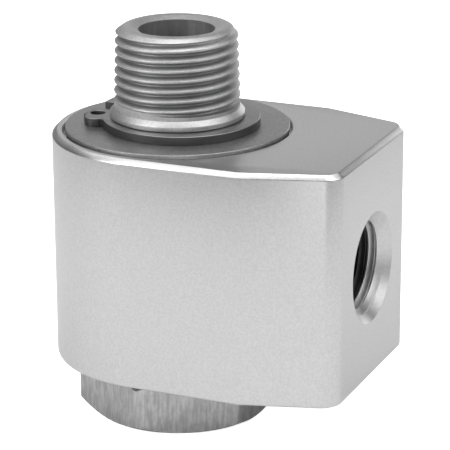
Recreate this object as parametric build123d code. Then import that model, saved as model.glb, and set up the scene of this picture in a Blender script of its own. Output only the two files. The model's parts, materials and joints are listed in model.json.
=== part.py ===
from build123d import *
import math
import os

# A 90 degree high-pressure swivel joint: a block housing with a threaded side port, and a hollow
# shaft that turns in it on two ball races, with a packing on each side of the port.
# Lengths are in millimetres and angles in degrees. The origin is the centre of the hexagon's lower
# face, +Z runs up the shaft towards the male thread, and +X points out of the side port.

# Housing, seen from above: a round end, parallel sides, then sides that taper to a flat end
housing_wall = 1.45
housing_parallel_end_x = 15.5
housing_end_x = 27.9
housing_end_half_width = 13.1
housing_corner_radius = 2.8
housing_top_edge_break = 0.65
housing_bottom_edge_break = 0.4

# Side port, drilled for a parallel pipe thread of 1/4 inch
port_minor_radius = 5.7225
port_countersink_radius = 7.475
port_thread_depth = 12.0
port_drill_radius = 3.5
drill_point_half_angle = 59.0

# Shaft below and inside the housing
journal_radius = 9.0
hex_flat_reach = 3.0
hex_height = 7.5
hex_corner_angle = 28.6
hex_chamfer_angle = 30.0
hex_chamfer_width = 0.2
hex_running_gap = 0.45
shoulder_step = 1.2
flow_groove_depth = 0.8
flow_groove_width = 6.4
cross_hole_radius = 2.75
cross_hole_pairs = 2
shaft_bore_radius = 5.075
shaft_bore_below_port = 3.0

# Shaft above the housing, with a tapered pipe thread of 3/8 inch whose turns are cut as rings
circlip_groove_depth = 0.5
circlip_groove_width = 1.3
collar_height = 1.24
collar_chamfer = 0.64
runout_height = 0.9
thread_length = 10.0
thread_gauge_radius = 8.331
thread_gauge_length = 6.4
thread_taper = 1 / 16
thread_pitch = 1.337
thread_depth = 0.856
thread_runout_depth = 0.5
thread_root_width = 0.24
thread_flank_angle = 27.5
thread_first_root_height = 0.86
thread_end_chamfer_width = 1.29
thread_end_chamfer_height = 0.85
bore_mouth_depth = 0.5

# Ball races, each with a shoulder that takes the thrust one way
race_section = 6.0
race_width = 7.0
race_shoulder_height = 1.15
ball_diameter = 3.5
ball_count = 10
ball_running_clearance = 0.05
cage_inside_pitch = 0.25
cage_outside_pitch = 1.1
cage_web_height = 1.0
cage_finger_height = 1.3
cage_pocket_clearance = 0.1
race_shield_thickness = 0.3

# Packing on each side of the port
packing_section = 3.0
seal_washer_thickness = 0.95
lantern_height = 7.5
lantern_window_radius = 2.5
lantern_window_count = 6
packing_nose_height = 1.0
head_ring_edge_height = 0.6
v_ring_thickness = 0.95
back_ring_edge_height = 1.95

# Cover disc and circlip
cover_recess_depth = 1.0
cover_proud_height = 0.43
cover_plate_thickness = 0.95
cover_land_setback = 0.7
cover_edge_break = 0.15
circlip_thickness = 1.2
circlip_band_width = 2.02
circlip_eccentricity = 0.58
circlip_eye_angle = 20.0
circlip_eye_height = 2.25
circlip_eye_radius = 1.0
circlip_lug_radius = 1.85
circlip_gap_half_width = 1.65
circlip_shoulder_angle = 28.5
circlip_shoulder_height = 2.4
circlip_shoulder_radius = 1.45
circlip_foot_angle = 150.0
circlip_neck_angle = 49.0
circlip_gap_centre_angle = 177.0

# Fits
journal_clearance = 0.02
bore_seat_clearance = 0.02
packing_joint_clearance = 0.02
seal_lip_clearance = 0.05
running_clearance = 0.3

# Heights of the stack, counted from the port's axis to either side
packing_height = head_ring_edge_height + v_ring_thickness + back_ring_edge_height
packing_start = lantern_height / 2
washer_start = packing_start + packing_height
race_start = washer_start + seal_washer_thickness
race_middle = race_start + race_width / 2
race_end = race_start + race_width

# Levels up the shaft: the lower race is flush with the housing's lower face
housing_bottom_z = hex_height + hex_running_gap
port_z = housing_bottom_z + race_end
upper_race_top_z = port_z + race_end
housing_top_z = upper_race_top_z + cover_recess_depth
cover_top_z = housing_top_z + cover_proud_height
cover_plate_z = cover_top_z - cover_plate_thickness
groove_top_z = cover_top_z + circlip_groove_width
collar_top_z = groove_top_z + collar_height
thread_bottom_z = collar_top_z + runout_height
shaft_top_z = thread_bottom_z + thread_length
full_thread_length = thread_length - thread_end_chamfer_height - thread_first_root_height
thread_turns = 1 + int(full_thread_length / thread_pitch)

# Radii that follow from their neighbours, outwards from the journal
race_outer_radius = journal_radius + race_section
packing_bore_radius = journal_radius + packing_section
hex_apothem = journal_radius + hex_flat_reach
seat_radius = race_outer_radius + bore_seat_clearance
cover_recess_radius = race_outer_radius + running_clearance
housing_round_radius = cover_recess_radius + housing_wall
ball_pitch_radius = (journal_radius + race_outer_radius) / 2
ball_room = ball_diameter / 2 + ball_running_clearance
inner_track_radius = ball_pitch_radius - ball_room
outer_track_radius = ball_pitch_radius + ball_room
inner_shoulder_radius = inner_track_radius + race_shoulder_height
outer_shoulder_radius = outer_track_radius - race_shoulder_height
ring_bore_radius = journal_radius + journal_clearance
packing_inner_radius = journal_radius + seal_lip_clearance
packing_outer_radius = packing_bore_radius - bore_seat_clearance
packing_middle_radius = (packing_inner_radius + packing_outer_radius) / 2
circlip_groove_radius = journal_radius - circlip_groove_depth
circlip_band_radius = circlip_groove_radius + circlip_band_width
circlip_eye_centre_radius = circlip_groove_radius + circlip_eye_height
circlip_shoulder_centre_radius = circlip_groove_radius + circlip_shoulder_height

os.makedirs("parts", exist_ok=True)


def save(name, shape):
    """Writes one sub-part to its own file."""
    shape.label = name
    export_step(shape, os.path.join("parts", name + ".step"))


def turned(points):
    """A solid turned about the Z axis from its half section, given as (radius, z)."""
    section = make_face(Polyline(*[(r, 0, z) for r, z in points], close=True))
    return revolve(section, Axis.Z, 360)


def upright_cylinder(radius, low, high):
    """A cylinder on the shaft's axis between two levels."""
    return Pos(0, 0, low) * Cylinder(radius, high - low, align=(Align.CENTER, Align.CENTER, Align.MIN))


def polar(radius, angle):
    """A point in the plan, from its distance to the axis and its angle."""
    return radius * math.cos(math.radians(angle)), radius * math.sin(math.radians(angle))


def housing_outline():
    """Round end, parallel sides, and sides that taper in to the flat end."""
    r = housing_round_radius
    w = housing_end_half_width
    round_end = ThreePointArc((0, r), (-r, 0), (0, -r))
    sides = Polyline(
        (0, -r),
        (housing_parallel_end_x, -r),
        (housing_end_x, -w),
        (housing_end_x, w),
        (housing_parallel_end_x, r),
        (0, r),
    )
    return make_face([round_end, sides])


def housing_block():
    """The outside of the housing, with its corners rounded and its edges broken."""
    block = extrude(Pos(0, 0, housing_bottom_z) * housing_outline(), housing_top_z - housing_bottom_z)
    end_corners = block.edges().filter_by(Axis.Z).group_by(Axis.X)[-1]
    block = fillet(end_corners, housing_corner_radius)
    block = chamfer(block.faces().sort_by(Axis.Z)[-1].edges(), housing_top_edge_break)
    return chamfer(block.faces().sort_by(Axis.Z)[0].edges(), housing_bottom_edge_break)


def port_tool():
    """The side port as its drills cut it, inwards from the flat end."""
    countersink_depth = port_countersink_radius - port_minor_radius
    point_slope = math.tan(math.radians(drill_point_half_angle))
    point_depth = (port_minor_radius - port_drill_radius) / point_slope
    gallery_depth = housing_end_x - journal_radius
    drilled = turned(
        [
            (0, 0),
            (port_countersink_radius, 0),
            (port_minor_radius, countersink_depth),
            (port_minor_radius, port_thread_depth),
            (port_drill_radius, port_thread_depth + point_depth),
            (port_drill_radius, gallery_depth),
            (0, gallery_depth),
        ]
    )
    return Pos(housing_end_x, 0, port_z) * Rot(0, -90, 0) * drilled


def make_housing():
    """The block with its stepped through bore and its side port."""
    bore = upright_cylinder(packing_bore_radius, housing_bottom_z, housing_top_z)
    lower_seat = upright_cylinder(seat_radius, housing_bottom_z, port_z - washer_start)
    upper_seat = upright_cylinder(seat_radius, port_z + washer_start, housing_top_z)
    recess = upright_cylinder(cover_recess_radius, cover_plate_z - running_clearance, housing_top_z)
    return housing_block() - bore - lower_seat - upper_seat - recess - port_tool()


def hex_blank():
    """The hexagon, with the turned chamfers that cut back its corners above and below."""
    corner = hex_apothem / math.cos(math.pi / 6)
    face_radius = hex_apothem - hex_chamfer_width
    drop = (corner - face_radius) * math.tan(math.radians(hex_chamfer_angle))
    prism = extrude(RegularPolygon(hex_apothem, 6, major_radius=False, rotation=hex_corner_angle), hex_height)
    envelope = turned(
        [
            (0, 0),
            (face_radius, 0),
            (corner, drop),
            (corner, hex_height - drop),
            (face_radius, hex_height),
            (0, hex_height),
        ]
    )
    return prism & envelope


def thread_radius(z):
    """Crest radius of the tapered thread at a level."""
    gauge_z = shaft_top_z - thread_gauge_length
    return thread_gauge_radius + (gauge_z - z) * thread_taper / 2


def thread_end():
    """Level and radius at which the chamfer of the thread's end starts, and its ridge radius."""
    chamfer_z = shaft_top_z - thread_end_chamfer_height
    radius = thread_radius(chamfer_z)
    return chamfer_z, radius, radius - thread_end_chamfer_width


def thread_groove(z, depth):
    """One turn of the thread's groove as a closed ring, with its root at a level."""
    root_radius = thread_radius(z) - depth
    outer_radius = thread_radius(thread_bottom_z) + thread_depth
    half_root = thread_root_width / 2
    half_mouth = half_root + (outer_radius - root_radius) * math.tan(math.radians(thread_flank_angle))
    return turned(
        [
            (root_radius, z - half_root),
            (outer_radius, z - half_mouth),
            (outer_radius, z + half_mouth),
            (root_radius, z + half_root),
        ]
    )


def shaft_blank():
    """The turned shaft above the hexagon, before it is drilled."""
    flow_groove_radius = journal_radius - flow_groove_depth
    runout_radius = journal_radius - collar_chamfer
    chamfer_z, chamfer_radius, ridge_radius = thread_end()
    return turned(
        [
            (0, hex_height),
            (journal_radius + shoulder_step, hex_height),
            (journal_radius + shoulder_step, housing_bottom_z),
            (journal_radius, housing_bottom_z),
            (journal_radius, port_z - flow_groove_width / 2),
            (flow_groove_radius, port_z - flow_groove_width / 2),
            (flow_groove_radius, port_z + flow_groove_width / 2),
            (journal_radius, port_z + flow_groove_width / 2),
            (journal_radius, cover_top_z),
            (circlip_groove_radius, cover_top_z),
            (circlip_groove_radius, groove_top_z),
            (journal_radius, groove_top_z),
            (journal_radius, collar_top_z - collar_chamfer),
            (runout_radius, collar_top_z),
            (runout_radius, thread_bottom_z),
            (thread_radius(thread_bottom_z), thread_bottom_z),
            (chamfer_radius, chamfer_z),
            (ridge_radius, shaft_top_z),
            (0, shaft_top_z),
        ]
    )


def shaft_bore_tool():
    """The blind bore, with its drill point below and its turned mouth at the top."""
    floor_z = port_z - shaft_bore_below_port
    point_height = shaft_bore_radius / math.tan(math.radians(drill_point_half_angle))
    ridge_radius = thread_end()[2]
    return turned(
        [
            (0, floor_z - point_height),
            (shaft_bore_radius, floor_z),
            (shaft_bore_radius, shaft_top_z - bore_mouth_depth),
            (ridge_radius, shaft_top_z),
            (0, shaft_top_z),
        ]
    )


def make_shaft():
    """Hexagon, journal, collar and thread in one piece, with the bore and the cross holes."""
    shaft = hex_blank() + shaft_blank() - shaft_bore_tool()
    first_root_z = thread_bottom_z + thread_first_root_height
    shaft -= thread_groove(first_root_z - thread_pitch, thread_runout_depth)
    for turn in range(thread_turns):
        shaft -= thread_groove(first_root_z + turn * thread_pitch, thread_depth)
    drill = Rot(0, 90, 0) * Cylinder(cross_hole_radius, 2 * journal_radius)
    for number in range(cross_hole_pairs):
        shaft -= Pos(0, 0, port_z) * Rot(0, 0, number * 180 / cross_hole_pairs) * drill
    return shaft


def inner_race():
    """The race on the shaft, with its shoulder on the side away from the port."""
    shoulder_face = race_middle + ball_room
    return turned(
        [
            (ring_bore_radius, race_start),
            (inner_track_radius, race_start),
            (inner_track_radius, shoulder_face),
            (inner_shoulder_radius, shoulder_face),
            (inner_shoulder_radius, race_end),
            (ring_bore_radius, race_end),
        ]
    )


def outer_race():
    """The race in the housing, with its shoulder on the side next to the port."""
    shoulder_face = race_middle - ball_room
    return turned(
        [
            (outer_shoulder_radius, race_start),
            (race_outer_radius, race_start),
            (race_outer_radius, race_end),
            (outer_track_radius, race_end),
            (outer_track_radius, shoulder_face),
            (outer_shoulder_radius, shoulder_face),
        ]
    )


def ball():
    """One ball as a solid of 18 flats, which lie as far from its centre as the ball's surface."""
    cube = Box(ball_diameter, ball_diameter, ball_diameter)
    return cube & (Rot(45, 0, 0) * cube) & (Rot(0, 45, 0) * cube) & (Rot(0, 0, 45) * cube)


def ball_row():
    """All the balls of one race."""
    spacing = 360 / ball_count
    places = [Rot(0, 0, n * spacing) * Pos(ball_pitch_radius, 0, race_middle) for n in range(ball_count)]
    return Compound(children=[place * ball() for place in places])


def ball_cage():
    """A crown cage: a ring on the open side of the outer race, with a slot for each ball."""
    pocket = ball_diameter / 2 + cage_pocket_clearance
    inner = ball_pitch_radius - cage_inside_pitch
    outer = ball_pitch_radius + cage_outside_pitch
    low = race_middle - cage_finger_height
    high = race_middle + pocket + cage_web_height
    cage = turned([(inner, low), (outer, low), (outer, high), (inner, high)])
    slot = Box(outer, 2 * pocket, 2 * pocket, align=(Align.MIN, Align.CENTER, Align.CENTER))
    for number in range(ball_count):
        cage -= Rot(0, 0, number * 360 / ball_count) * Pos(inner / 2, 0, race_middle) * slot
    return cage


def race_shield():
    """The thin ring pressed into the outer race, which closes the race on its open side."""
    inner = inner_shoulder_radius + running_clearance
    outer = outer_track_radius - bore_seat_clearance
    low = race_end - race_shield_thickness
    return turned([(inner, low), (outer, low), (outer, race_end), (inner, race_end)])


def seal_washer():
    """The washer between race and packing, relieved where the inner race turns past it."""
    bore = journal_radius + running_clearance
    relief = race_start - running_clearance
    return turned(
        [
            (bore, washer_start),
            (race_outer_radius, washer_start),
            (race_outer_radius, race_start),
            (packing_bore_radius, race_start),
            (packing_bore_radius, relief),
            (bore, relief),
        ]
    )


def head_ring():
    """The male ring next to the lantern, whose nose spreads the lips of the V ring."""
    start = packing_start + packing_joint_clearance
    edge = packing_start + head_ring_edge_height
    return turned(
        [
            (packing_inner_radius, start),
            (packing_outer_radius, start),
            (packing_outer_radius, edge),
            (packing_middle_radius, edge + packing_nose_height),
            (packing_inner_radius, edge),
        ]
    )


def v_ring():
    """The sealing ring, open towards the pressure."""
    start = packing_start + head_ring_edge_height + packing_joint_clearance
    end = packing_start + head_ring_edge_height + v_ring_thickness
    return turned(
        [
            (packing_inner_radius, start),
            (packing_middle_radius, start + packing_nose_height),
            (packing_outer_radius, start),
            (packing_outer_radius, end),
            (packing_middle_radius, end + packing_nose_height),
            (packing_inner_radius, end),
        ]
    )


def back_ring():
    """The female ring that carries the V ring, flat on the washer behind it."""
    start = washer_start - back_ring_edge_height + packing_joint_clearance
    return turned(
        [
            (packing_inner_radius, start),
            (packing_middle_radius, start + packing_nose_height),
            (packing_outer_radius, start),
            (packing_outer_radius, washer_start),
            (packing_inner_radius, washer_start),
        ]
    )


def make_lantern_ring():
    """The spacer between the packings, with windows that let the flow through at the port."""
    inner = journal_radius + running_clearance
    outer = packing_outer_radius
    low, high = -packing_start, packing_start
    lantern = turned([(inner, low), (outer, low), (outer, high), (inner, high)])
    drill = Pos(packing_middle_radius, 0, 0) * Rot(0, 90, 0) * Cylinder(lantern_window_radius, inner)
    for number in range(lantern_window_count):
        lantern -= Rot(0, 0, number * 360 / lantern_window_count) * drill
    return Pos(0, 0, port_z) * lantern


def make_cover_disc():
    """The disc over the upper race, with a land that stands on the inner race only."""
    land_radius = inner_shoulder_radius - cover_land_setback
    return turned(
        [
            (ring_bore_radius, upper_race_top_z),
            (land_radius, upper_race_top_z),
            (land_radius, cover_plate_z),
            (race_outer_radius, cover_plate_z),
            (race_outer_radius, cover_top_z - cover_edge_break),
            (race_outer_radius - cover_edge_break, cover_top_z),
            (ring_bore_radius, cover_top_z),
        ]
    )


def circlip_lug(side):
    """One lug, side 1 or -1 of the gap: square at the gap, with a round shoulder that runs into the band."""
    eye_x, eye_y = polar(circlip_eye_centre_radius, side * circlip_eye_angle)
    shoulder_x, shoulder_y = polar(circlip_shoulder_centre_radius, side * circlip_shoulder_angle)
    back_x, back_y = polar(circlip_shoulder_radius, side * circlip_neck_angle)
    foot_x, foot_y = polar(circlip_shoulder_radius, side * circlip_foot_angle)
    web = Polyline(
        (0, 0),
        (eye_x + circlip_lug_radius, side * circlip_gap_half_width),
        (eye_x + circlip_lug_radius, eye_y),
        (shoulder_x + back_x, shoulder_y + back_y),
        (shoulder_x, shoulder_y),
        (shoulder_x + foot_x, shoulder_y + foot_y),
        polar(circlip_band_radius - circlip_eccentricity, side * circlip_neck_angle),
        close=True,
    )
    rounds = Pos(eye_x, eye_y) * Circle(circlip_lug_radius)
    rounds += Pos(shoulder_x, shoulder_y) * Circle(circlip_shoulder_radius)
    return make_face(web) + rounds


def make_circlip():
    """The external circlip on the cover disc: an eccentric band with two eyed lugs at its gap."""
    blank = Pos(-circlip_eccentricity, 0) * Circle(circlip_band_radius)
    for side in (-1, 1):
        blank += circlip_lug(side)
        eye_x, eye_y = polar(circlip_eye_centre_radius, side * circlip_eye_angle)
        blank -= Pos(eye_x, eye_y) * Circle(circlip_eye_radius)
    blank -= Circle(circlip_groove_radius + journal_clearance)
    reach = circlip_eye_centre_radius + circlip_lug_radius
    blank -= Rectangle(reach, 2 * circlip_gap_half_width, align=(Align.MIN, Align.CENTER))
    clip = extrude(blank, circlip_thickness)
    return Pos(0, 0, cover_top_z) * Rot(0, 0, circlip_gap_centre_angle) * clip


save("housing", make_housing())
save("shaft", make_shaft())
save("cover_disc", make_cover_disc())
save("shaft_circlip", make_circlip())
save("lantern_ring", make_lantern_ring())

# The rest of the stack is the same above and below the port, turned over below it
stack = {
    "inner_race": inner_race(),
    "outer_race": outer_race(),
    "balls": ball_row(),
    "ball_cage": ball_cage(),
    "race_shield": race_shield(),
    "seal_washer": seal_washer(),
    "seal_back_ring": back_ring(),
    "seal_v_ring": v_ring(),
    "seal_head_ring": head_ring(),
}
for piece_name, piece in stack.items():
    save("upper_" + piece_name, Pos(0, 0, port_z) * piece)
    save("lower_" + piece_name, Pos(0, 0, port_z) * Rot(180, 0, 0) * piece)
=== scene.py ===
import json
import math

import bmesh
import bpy
from bpy.props import FloatProperty, FloatVectorProperty, IntProperty, PointerProperty
from mathutils import Matrix, Vector


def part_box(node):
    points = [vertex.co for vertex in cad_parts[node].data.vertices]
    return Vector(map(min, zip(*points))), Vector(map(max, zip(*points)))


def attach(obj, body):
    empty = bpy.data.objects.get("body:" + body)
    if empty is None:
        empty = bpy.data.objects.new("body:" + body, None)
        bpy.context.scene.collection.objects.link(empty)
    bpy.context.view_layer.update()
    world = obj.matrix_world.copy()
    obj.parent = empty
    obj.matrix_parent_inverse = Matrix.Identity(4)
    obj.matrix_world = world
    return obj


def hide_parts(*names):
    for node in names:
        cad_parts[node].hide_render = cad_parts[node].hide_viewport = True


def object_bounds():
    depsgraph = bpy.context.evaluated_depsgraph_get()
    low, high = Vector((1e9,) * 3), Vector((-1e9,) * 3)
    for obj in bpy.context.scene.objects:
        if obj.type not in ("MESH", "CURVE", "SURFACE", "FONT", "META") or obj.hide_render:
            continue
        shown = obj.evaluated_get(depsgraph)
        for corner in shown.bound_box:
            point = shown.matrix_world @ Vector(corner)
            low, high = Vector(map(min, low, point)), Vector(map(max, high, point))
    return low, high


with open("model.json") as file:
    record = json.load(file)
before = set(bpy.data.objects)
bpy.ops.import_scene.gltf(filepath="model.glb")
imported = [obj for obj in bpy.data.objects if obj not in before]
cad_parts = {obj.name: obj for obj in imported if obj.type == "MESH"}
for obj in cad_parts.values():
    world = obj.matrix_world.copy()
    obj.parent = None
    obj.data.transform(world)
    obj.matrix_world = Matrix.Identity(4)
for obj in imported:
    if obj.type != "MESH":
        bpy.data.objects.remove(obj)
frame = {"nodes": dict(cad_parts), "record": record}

bl_info = {
    "name": "Right-angle pipe swivel",
    "version": (1, 0, 0),
    "blender": (4, 5, 0),
    "location": "3D View > Sidebar > Swivel",
    "description": "Models the machined pieces of a right-angle pipe swivel and finishes its materials",
    "category": "Object",
}

# Lengths are in metres. The shaft's axis is Z, and the side port looks along +X.
MM = 0.001
WELD = 0.002 * MM
OVERSHOOT = 1.0 * MM
TURN_STEPS = 160
SMALL_TURN_STEPS = 48
OUTLINE_STEPS = 320
CROWN_STEPS = 10
CORNER_STEPS = 14
LUG_STEPS = 14
BALL_CUTS = 11
SMOOTH_ANGLE = math.radians(28)
FULL_TURN = 2 * math.pi

# Boxes of the frame's own pieces, which give the levels and radii that the new pieces keep
CAD_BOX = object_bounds()
HOUSING_LOW, HOUSING_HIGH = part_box("housing")
SHAFT_LOW, SHAFT_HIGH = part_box("shaft")
DISC_LOW, DISC_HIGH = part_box("cover_disc")
CLIP_LOW, CLIP_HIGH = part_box("shaft_circlip")
LANTERN_LOW, LANTERN_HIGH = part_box("lantern_ring")
WASHER_LOW, WASHER_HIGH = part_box("upper_seal_washer")
PORT_Z = (LANTERN_LOW.z + LANTERN_HIGH.z) / 2

# Radius that a tapered pipe thread loses over its length
TAPER = 1 / 32

# Shapes inside the swivel, which no one sees from outside
SEAT_CLEARANCE = 0.02 * MM
RECESS_CLEARANCE = 0.3 * MM
RACE_SEAT_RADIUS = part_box("upper_outer_race")[1].x + SEAT_CLEARANCE
SHOULDER_STEP = 1.2 * MM
FLOW_GROOVE_DEPTH = 0.8 * MM
FLOW_GROOVE_HALF_WIDTH = 3.2 * MM
BORE_BELOW_PORT = 3.0 * MM
CROSS_HOLE_PAIRS = 2
STEM_BURIED = 0.25 * MM
DRILL_POINT = math.radians(59)

# How softly one finish goes over into the next on a piece
FINISH_EDGE = 0.1 * MM

# Softboxes: azimuth from the camera's and elevation in degrees, then power in watts
SOFTBOXES = {
    "front_low": (0, 5, 0.46),
    "front_high": (0, 55, 0.28),
    "left_middle": (-60, 30, 1.52),
    "left_high": (-60, 55, 0.59),
    "right_low": (30, 5, 0.05),
    "right_low_side": (60, 5, 0.04),
    "right_middle": (60, 30, 0.42),
    "right_high": (60, 55, 0.85),
    "right_side": (90, 30, 0.37),
    "back_left_high": (-120, 55, 0.42),
    "back_left_middle": (-150, 30, 0.13),
    "back_left_low": (-150, 5, 0.05),
    "left_back_low": (-120, 5, 0.03),
    "left_back_middle": (-120, 30, 0.03),
    "back_right_high": (120, 55, 0.37),
    "back_right_low": (150, 5, 0.63),
    "back_low": (180, 5, 0.15),
    "back_middle": (180, 30, 0.16),
    "top": (0, 89, 1.11),
}
FLOOR_WHITE = (0.9, 0.9, 0.9)

# The camera's sensor in millimetres, and the nearest and farthest that it sees in metres
SENSOR_WIDTH = 36
NEAREST, FARTHEST = 0.01, 20


def length(label, about, default):
    """A length that the user may change, in metres."""
    return FloatProperty(name=label, description=about, default=default, unit="LENGTH", precision=5)


def angle(label, about, default):
    """An angle that the user may change, given in degrees."""
    return FloatProperty(name=label, description=about, default=math.radians(default), unit="ROTATION")


def grey(label, about, default):
    """A colour that the user may change."""
    return FloatVectorProperty(name=label, description=about, default=default, subtype="COLOR", min=0, max=1)


def share(label, about, default):
    """A plain number that the user may change."""
    return FloatProperty(name=label, description=about, default=default, precision=3)


class HousingSizes(bpy.types.PropertyGroup):
    parallel_end: length("Parallel sides", "From the shaft's axis to the start of the taper", 15.5 * MM)
    end_half_width: length("Half width of the end", "Half the flat end, with its corners sharp", 13.1 * MM)
    corner_radius: length("Corner radius", "Radius of the two upright corners of the end", 2.8 * MM)
    top_break: length("Top edge", "Chamfer round the upper face", 0.65 * MM)
    bottom_break: length("Bottom edge", "Rounding round the lower face", 0.45 * MM)
    softness: length("Edge softness", "Rounding of every machined edge", 0.09 * MM)
    recess_break: length("Recess edge", "Edge break of the bore and the disc's recess", 0.15 * MM)
    countersink_radius: length("Countersink", "Radius of the port's countersink at the end face", 7.475 * MM)
    minor_radius: length("Port minor radius", "Radius over the crests of the port's thread", 5.7225 * MM)
    drill_depth: length("Port depth", "Depth of the port's bore", 12.0 * MM)
    thread_depth: length("Port thread length", "Depth of the full thread in the port", 10.6 * MM)
    gallery_radius: length("Gallery radius", "Radius of the drilling that joins port and bore", 3.5 * MM)
    crest_phase: share("Port thread start", "Turns by which the port's thread is set back", 0.3)


class ShaftSizes(bpy.types.PropertyGroup):
    journal_radius: length("Journal radius", "Radius of the shaft in the housing", 9.0 * MM)
    hex_apothem: length("Hexagon", "Half the width across the flats", 12.0 * MM)
    hex_height: length("Hexagon height", "Height of the flats", 7.5 * MM)
    hex_turn: angle("Hexagon turn", "Angle of the first corner", 28.6)
    hex_chamfer: length("Hexagon chamfer", "How far the turned chamfer comes in from the flats", 0.2 * MM)
    hex_corner: length("Hexagon corner", "Rounding of the drawn corners", 0.28 * MM)
    bore_radius: length("Bore radius", "Radius of the flow bore", 5.075 * MM)
    cross_hole_radius: length("Cross holes", "Radius of the holes at the port's level", 2.75 * MM)
    collar_chamfer: length("Collar chamfer", "Chamfer above the collar", 0.64 * MM)
    collar_height: length("Collar height", "Height above the ring's groove, chamfer included", 1.24 * MM)
    band_height: length("Band height", "Height of the plain band between collar and thread", 0.9 * MM)
    runout_radius: length("Run-out radius", "Radius of the round that the last groove fades to", 7.51 * MM)
    runout_shift: length("Run-out shift", "How far that round is set from the axis", 1.05 * MM)
    runout_turn: angle("Run-out turn", "Direction in which that round is set from the axis", 225.0)
    start_level: length("Thread start", "Middle level of the plane that the groove starts on", 42.95 * MM)
    start_rise: length("Thread start rise", "How far that plane rises to the edge of the band", 0.15 * MM)
    start_turn: angle("Thread start turn", "Direction in which that plane rises", 170.0)
    groove_radius: length("Ring groove radius", "Radius at the foot of the retaining ring's groove", 8.5 * MM)
    groove_width: length("Ring groove width", "Width of the retaining ring's groove", 1.3 * MM)
    gauge_radius: length("Gauge radius", "Crest radius at the gauge plane", 8.331 * MM)
    gauge_length: length("Gauge length", "From the end of the thread to the gauge plane", 6.4 * MM)
    end_height: length("End height", "Height of the crown at the end of the thread", 0.85 * MM)
    end_slope: angle("End slope", "Slope of the crown's outer side", 33.4)
    mouth_depth: length("Mouth depth", "Depth of the cone that leads into the bore", 0.5 * MM)
    mouth_slope: angle("Mouth slope", "Slope of the cone that leads into the bore", 23.7)
    crown_radius: length("Crown radius", "Radius of the round on top of the crown", 1.5 * MM)
    crown_middle: length("Crown middle", "From the axis to the top of the crown", 6.53 * MM)
    edge_softness: length("Turned edges", "Rounding of the turned edges", 0.07 * MM)
    crest_level: length("Crest level", "Level of a thread crest on the +X side", 49.14 * MM)


class ThreadSizes(bpy.types.PropertyGroup):
    pitch: length("Pitch", "19 turns to the inch", 1.337 * MM)
    flank_angle: angle("Flank angle", "Half the angle between the flanks", 27.5)
    depth: share("Depth", "Depth of the cut form, in pitches", 0.6403)
    rounding: share("Rounding", "Radius of crest and root, in pitches", 0.1373)
    arc_steps: IntProperty(name="Arc steps", description="Edges along each crest and root", default=4)


class CoverSizes(bpy.types.PropertyGroup):
    plate_thickness: length("Disc thickness", "Thickness of the cover disc's plate", 0.95 * MM)
    land_radius: length("Land radius", "Radius of the land on the inner race", 10.65 * MM)
    disc_edge: length("Disc edge", "Rounding of the cover disc's rim", 0.15 * MM)
    band_radius: length("Band radius", "Outer radius of the retaining ring's band", 10.52 * MM)
    eccentricity: length("Eccentricity", "How far the band's circle is set from the axis", 0.58 * MM)
    eye_radius: length("Eye radius", "Radius of the eyes for the pliers", 1.0 * MM)
    eye_distance: length("Eye distance", "From the axis to the middle of an eye", 10.75 * MM)
    eye_angle: angle("Eye angle", "From the middle of the gap to an eye", 20.0)
    lug_radius: length("Lug radius", "Radius of a lug about its eye", 1.85 * MM)
    shoulder_radius: length("Shoulder radius", "Radius of the round shoulder behind a lug", 1.45 * MM)
    shoulder_distance: length("Shoulder distance", "From the axis to the middle of a shoulder", 10.9 * MM)
    shoulder_angle: angle("Shoulder angle", "From the middle of the gap to a shoulder", 28.5)
    foot_angle: angle("Foot angle", "Where on the shoulder's round its foot starts", 150.0)
    neck_angle: angle("Neck angle", "From the middle of the gap to where the band's own round starts", 40.0)
    gap_width: length("Gap", "Width of the gap between the lugs", 3.3 * MM)
    gap_angle: angle("Gap angle", "Direction of the gap in plan", 177.0)
    stamped_edge: length("Stamped edge", "Rounding of the retaining ring's edges", 0.14 * MM)


class InnerSizes(bpy.types.PropertyGroup):
    ball_radius: length("Ball radius", "Radius of the ground balls", 1.75 * MM)
    ball_count: IntProperty(name="Balls", description="Balls in each race", default=10)
    pitch_radius: length("Pitch radius", "Radius of the circle through the balls", 12.0 * MM)


class FinishColours(bpy.types.PropertyGroup):
    housing: grey("Housing", "Satin stainless steel", (0.65, 0.65, 0.65))
    shaft: grey("Shaft", "Turned stainless steel", (0.57, 0.57, 0.57))
    cover: grey("Cover disc", "Rolled steel sheet", (0.42, 0.42, 0.42))
    clip: grey("Retaining ring", "Spring steel", (0.36, 0.36, 0.36))
    ring: grey("Rings and washers", "Turned steel", (0.55, 0.55, 0.55))
    race: grey("Races and balls", "Ground bearing steel", (0.68, 0.68, 0.69))
    cage: grey("Cage", "Moulded plastic", (0.72, 0.66, 0.5))
    packing: grey("Packing", "Machined white plastic", (0.82, 0.81, 0.78))
    rubber: grey("Sealing ring", "Black rubber", (0.02, 0.02, 0.021))


class StageSettings(bpy.types.PropertyGroup):
    azimuth: angle("Azimuth", "Direction of the camera round the shaft", 23.391)
    elevation: angle("Elevation", "Height of the camera above the horizon", 18.439)
    roll: angle("Roll", "Turn of the camera about its own axis", -0.285)
    distance: length("Distance", "From the camera to the point it looks at", 331.358 * MM)
    look_right: length("Look right", "Sideways place of the point that the camera looks at", 6.242 * MM)
    look_up: length("Look up", "Level of the point that the camera looks at", 25.422 * MM)
    lens: FloatProperty(name="Lens", description="Focal length on a 36 mm sensor, in mm", default=196.13)
    floor_size: length("Floor", "Width of the floor", 6.0)
    light_distance: length("Light distance", "From the middle of the object to each softbox", 0.6)
    light_size: length("Light size", "Width of each softbox", 0.3)
    seen_white: share("Seen white", "Glow of floor and room in the camera's own rays", 0.9)
    floor_glow: share("Floor glow", "Glow of the floor in the metal's reflections", 0.0)
    room_glow: share("Room glow", "Glow of the room in the metal's reflections", 0.0)


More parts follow.
